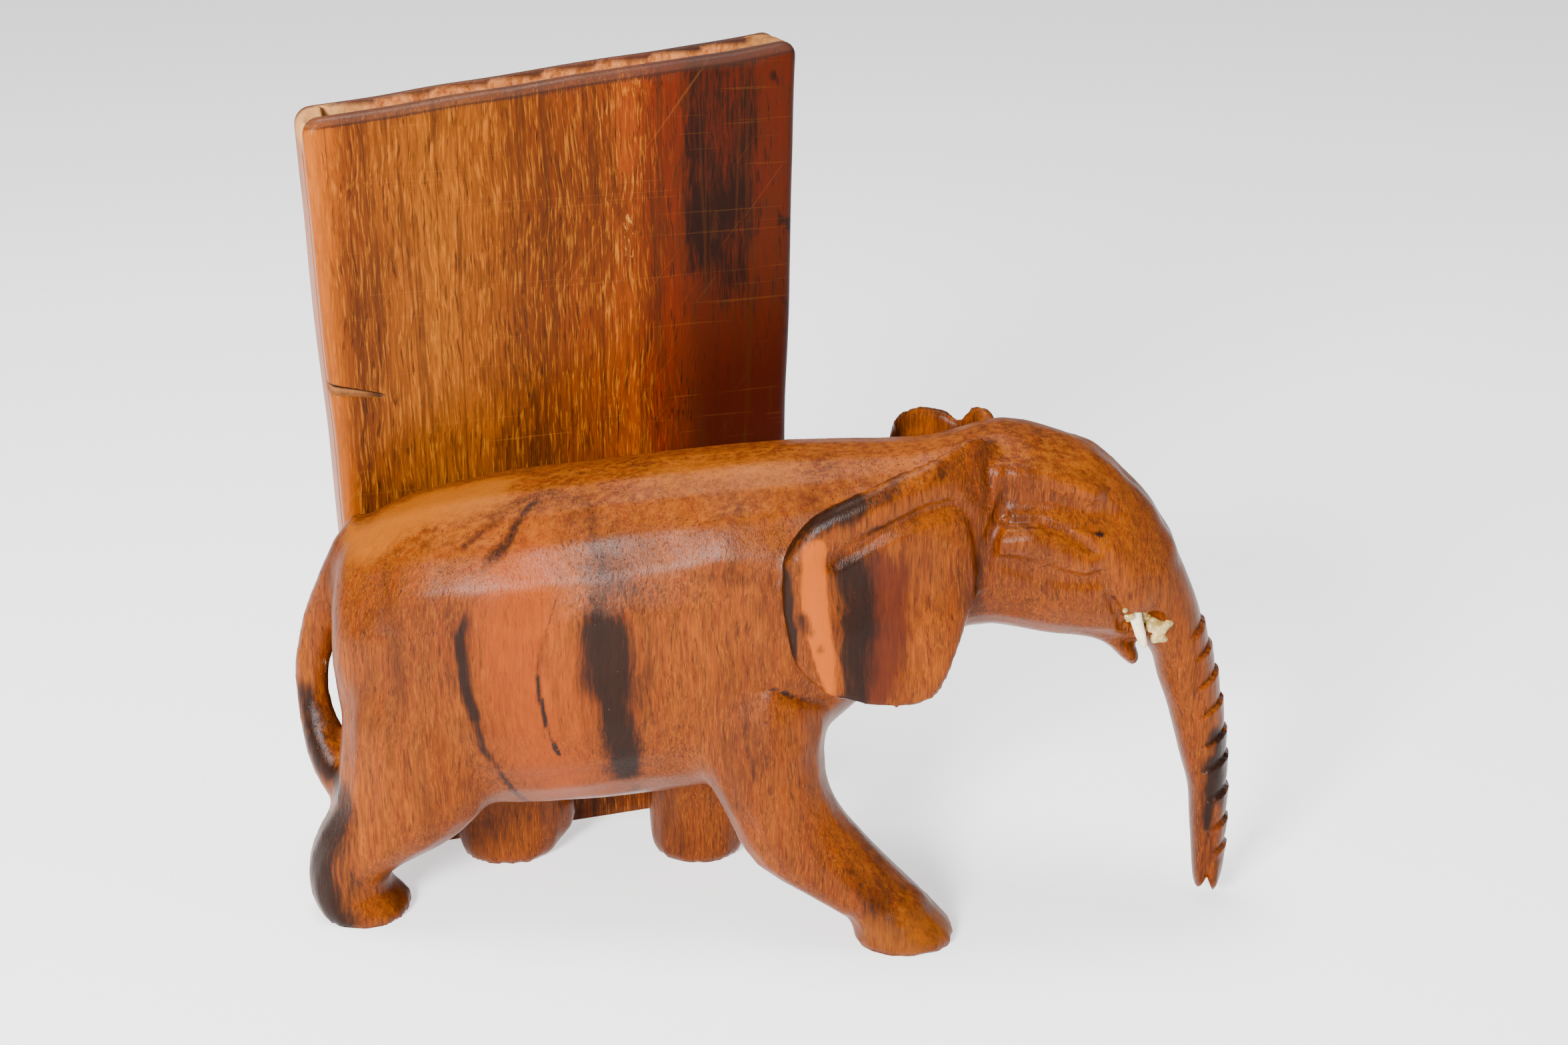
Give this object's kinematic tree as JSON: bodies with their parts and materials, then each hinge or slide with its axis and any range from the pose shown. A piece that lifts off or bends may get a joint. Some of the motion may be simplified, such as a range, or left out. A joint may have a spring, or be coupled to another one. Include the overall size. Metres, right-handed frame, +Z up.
{
  "type": "carved wooden elephant letter rack",
  "caption": "Carved wooden elephant that strides past an upright two-leaf board with a slot in its top, with broken tusk stubs in glue.",
  "frame": {"origin": "middle of the foot of the object's box, on the surface that it stands on", "axes": "+X along the board's faces, towards the elephant's head; +Y from the elephant to the board's back; +Z up"},
  "size_m": [0.1946, 0.1037, 0.1816],
  "materials": {
    "elephant_wood": "satin varnish over red-brown hardwood with darker bands along the grain",
    "front_leaf_wood": "satin varnish, golden orange to dark mahogany, upright grain",
    "back_leaf_wood": "satin varnish outside, rough and bare inside the slot",
    "tusk": "cream, bone-like, broken across the end",
    "glue": "hardened yellow glue, lumpy and slightly clear",
    "dowel_wood": "plain pale wood"
  },
  "bodies": {
    "root": {"elephant": "elephant_wood", "front_leaf": "front_leaf_wood", "back_leaf": "back_leaf_wood", "near_tusk": "tusk", "far_tusk": "tusk", "near_tusk_glue": "glue", "far_tusk_glue": "glue", "hip_dowels": "dowel_wood"}
  },
  "joints": []
}
